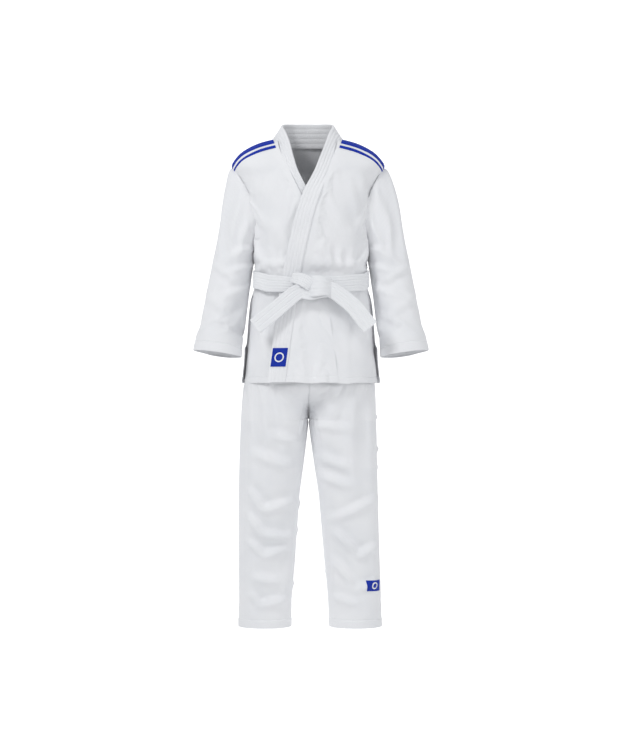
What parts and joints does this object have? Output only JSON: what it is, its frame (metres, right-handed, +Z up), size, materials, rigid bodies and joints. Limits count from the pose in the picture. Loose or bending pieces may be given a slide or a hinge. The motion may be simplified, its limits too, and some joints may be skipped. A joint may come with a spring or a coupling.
{
  "type": "martial arts uniform",
  "caption": "Child's wrap jacket with lapel band and tied belt over straight trousers; sleeves, legs and belt tails swing, and the jacket lifts off.",
  "frame": {"origin": "middle of the waist, on the axis of the body, at the height of the belt at the sides", "axes": "+Z up along the body, the front of the garment faces -Y, +X is the wearer's left"},
  "size_m": [0.5628, 0.2659, 1.2105],
  "materials": {
    "white_cloth": "matte pearl weave cotton",
    "white_band": "matte quilted twill",
    "white_drill": "matte cotton drill",
    "belt_cloth": "matte stitched twill",
    "elastic": "ribbed elastic",
    "blue_cloth": "woven satin tape",
    "eyelet_metal": "satin"
  },
  "bodies": {
    "trousers": {"waistband": "white_drill", "waist_elastic": "elastic", "left_drawcord_eyelet": "eyelet_metal", "right_drawcord_eyelet": "eyelet_metal", "left_front_hip_panel": "white_drill", "left_back_hip_panel": "white_drill", "right_front_hip_panel": "white_drill", "right_back_hip_panel": "white_drill", "crotch_gusset": "white_drill"},
    "left_thigh": {"left_thigh_front_panel": "white_drill", "left_thigh_back_panel": "white_drill", "left_hip_fold": "white_drill"},
    "left_shin": {"left_shin_front_panel": "white_drill", "left_shin_back_panel": "white_drill", "left_leg_hem": "white_drill", "left_knee_fold": "white_drill", "trouser_label": "blue_cloth"},
    "right_thigh": {"right_thigh_front_panel": "white_drill", "right_thigh_back_panel": "white_drill", "right_hip_fold": "white_drill"},
    "right_shin": {"right_shin_front_panel": "white_drill", "right_shin_back_panel": "white_drill", "right_leg_hem": "white_drill", "right_knee_fold": "white_drill"},
    "jacket": {"back_panel": "white_cloth", "left_front_panel": "white_cloth", "right_front_panel": "white_cloth", "left_lapel": "white_band", "right_lapel": "white_band", "collar_band": "white_band", "lapel_label": "blue_cloth", "belt_inner_wrap": "belt_cloth", "belt_outer_wrap": "belt_cloth", "belt_knot": "belt_cloth", "left_shoulder_tape_wide": "blue_cloth", "left_shoulder_tape_narrow": "blue_cloth", "right_shoulder_tape_wide": "blue_cloth", "right_shoulder_tape_narrow": "blue_cloth"},
    "left_upper_arm": {"left_upper_sleeve": "white_cloth", "left_armhole_fold": "white_cloth"},
    "left_forearm": {"left_lower_sleeve": "white_cloth", "left_cuff_hem": "white_cloth", "left_elbow_fold": "white_cloth"},
    "left_tail": {"left_belt_tail": "belt_cloth"},
    "right_upper_arm": {"right_upper_sleeve": "white_cloth", "right_armhole_fold": "white_cloth"},
    "right_forearm": {"right_lower_sleeve": "white_cloth", "right_cuff_hem": "white_cloth", "right_elbow_fold": "white_cloth"},
    "right_tail": {"right_belt_tail": "belt_cloth"}
  },
  "joints": [
    {"name": "jacket_lift", "type": "slide", "parent": "trousers", "child": "jacket", "axis": [0, 0, 1], "range_m": [0, 0.3]},
    {"name": "left_shoulder", "type": "hinge", "parent": "jacket", "child": "left_upper_arm", "pos_m": [0.15, 0, 0.175], "axis": [0, -1, 0], "range_deg": [0, 60], "deforming": ["left_armhole_fold"]},
    {"name": "left_elbow", "type": "hinge", "parent": "left_upper_arm", "child": "left_forearm", "pos_m": [0.196, 0, 0.008], "axis": [-1, 0, 0], "range_deg": [0, 60], "deforming": ["left_elbow_fold"]},
    {"name": "left_hip", "type": "hinge", "parent": "trousers", "child": "left_thigh", "pos_m": [0.08, 0, -0.32], "axis": [-1, 0, 0], "range_deg": [-20, 25], "deforming": ["left_hip_fold"]},
    {"name": "left_knee", "type": "hinge", "parent": "left_thigh", "child": "left_shin", "pos_m": [0.1, 0, -0.565], "axis": [1, 0, 0], "range_deg": [0, 60], "deforming": ["left_knee_fold"]},
    {"name": "right_shoulder", "type": "hinge", "parent": "jacket", "child": "right_upper_arm", "pos_m": [-0.15, 0, 0.175], "axis": [0, 1, 0], "range_deg": [0, 60], "deforming": ["right_armhole_fold"]},
    {"name": "right_elbow", "type": "hinge", "parent": "right_upper_arm", "child": "right_forearm", "pos_m": [-0.196, 0, 0.008], "axis": [-1, 0, 0], "range_deg": [0, 60], "deforming": ["right_elbow_fold"]},
    {"name": "right_hip", "type": "hinge", "parent": "trousers", "child": "right_thigh", "pos_m": [-0.08, 0, -0.32], "axis": [-1, 0, 0], "range_deg": [-20, 25], "deforming": ["right_hip_fold"]},
    {"name": "right_knee", "type": "hinge", "parent": "right_thigh", "child": "right_shin", "pos_m": [-0.1, 0, -0.565], "axis": [1, 0, 0], "range_deg": [0, 60], "deforming": ["right_knee_fold"]},
    {"name": "left_belt_tail", "type": "hinge", "parent": "jacket", "child": "left_tail", "pos_m": [0.052, -0.127, -0.044], "axis": [0, 1, 0], "range_deg": [-15, 40]},
    {"name": "right_belt_tail", "type": "hinge", "parent": "jacket", "child": "right_tail", "pos_m": [-0.038, -0.127, -0.046], "axis": [0, -1, 0], "range_deg": [-15, 40]}
  ]
}
